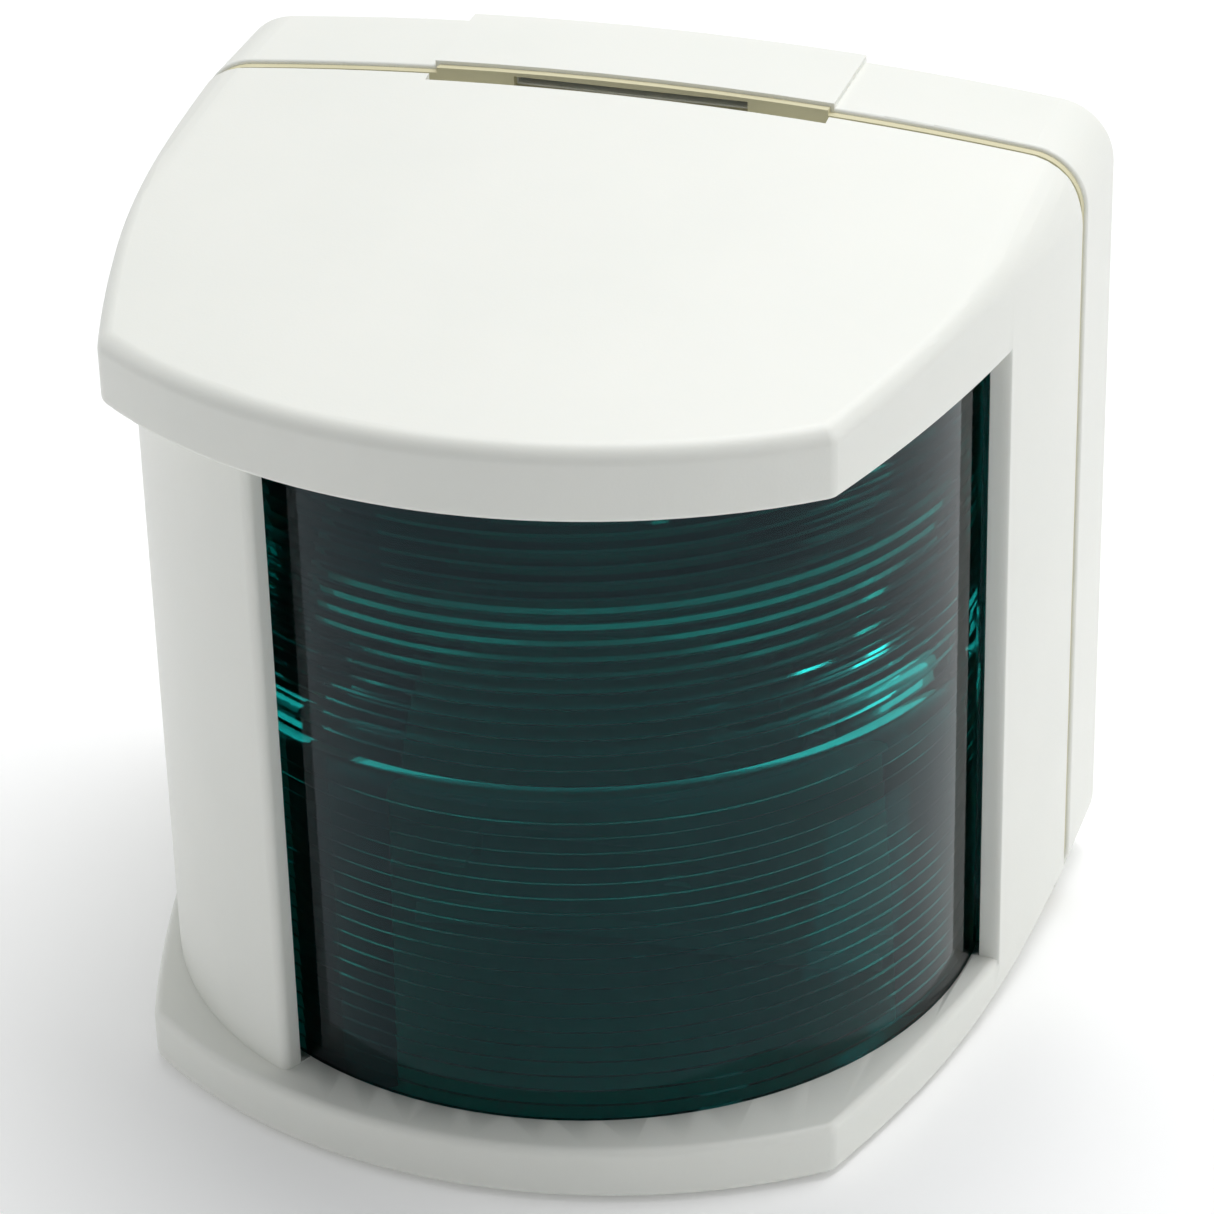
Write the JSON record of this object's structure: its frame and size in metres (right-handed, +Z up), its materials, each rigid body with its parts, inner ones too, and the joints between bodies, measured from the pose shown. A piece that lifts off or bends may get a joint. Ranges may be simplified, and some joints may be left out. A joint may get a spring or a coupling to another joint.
{
  "type": "navigation light",
  "caption": "Starboard side light for a bulkhead: crowned base tray, hooded swing-down shroud, curved green prism lens, screens and a bayonet bulb.",
  "frame": {"origin": "middle of the back face that bears on the wall, at mid height of the casing", "axes": "+X ahead (towards the bow), -Y out from the wall, +Z up"},
  "size_m": [0.1046, 0.088, 0.1006],
  "materials": {
    "white_housing": "satin moulded",
    "cream_seal": "matt",
    "black_rubber": "matt",
    "green_lens": "clear tinted",
    "black_screen": "matt",
    "stainless": "satin",
    "brass": "satin",
    "nickel": "bright",
    "brown_insulator": "moulded phenolic",
    "grey_plastic": "moulded",
    "clear_glass": "clear",
    "tungsten": "dull"
  },
  "bodies": {
    "base": {"mounting_base": "white_housing", "wall_gasket": "black_rubber", "housing_seal": "cream_seal", "hinge_pins": "stainless", "cable_grommet": "black_rubber", "socket_bracket": "grey_plastic", "bracket_screws": "stainless", "socket_shell": "nickel", "socket_insulator": "brown_insulator", "plunger_springs": "stainless", "feed_strips": "brass", "terminal_block": "grey_plastic", "terminal_screws": "brass"},
    "shroud": {"front_shroud": "white_housing", "lens": "green_lens", "lens_seals": "black_rubber", "sector_screen_aft": "black_screen", "sector_screen_ahead": "black_screen", "screen_screws": "stainless"},
    "latch": {"latch_tongue": "white_housing"},
    "bulb": {"bulb_cap": "nickel", "bulb_contacts": "tungsten", "bulb_glass": "clear_glass", "bulb_stem": "clear_glass", "bulb_filament": "tungsten"},
    "contacts": {"contact_plungers": "brass"}
  },
  "joints": [
    {"name": "shroud_swing", "type": "hinge", "parent": "base", "child": "shroud", "pos_m": [0, -0.0115, -0.0477], "axis": [1, 0, 0], "range_deg": [0, 50]},
    {"name": "latch_press", "type": "hinge", "parent": "base", "child": "latch", "pos_m": [0, -0.005, 0.0465], "axis": [1, 0, 0], "range_deg": [0, 5], "stiffness_Nm_per_rad": 0.1},
    {"name": "bulb_turn", "type": "hinge", "parent": "base", "child": "bulb", "pos_m": [0.0009, -0.0369, 0], "axis": [0, 0, -1], "range_deg": [0, 18]},
    {"name": "contact_press", "type": "slide", "parent": "base", "child": "contacts", "axis": [0, 0, 1], "range_m": [0, 0.0008], "stiffness_N_per_m": 500, "deforming": ["plunger_springs"]}
  ]
}
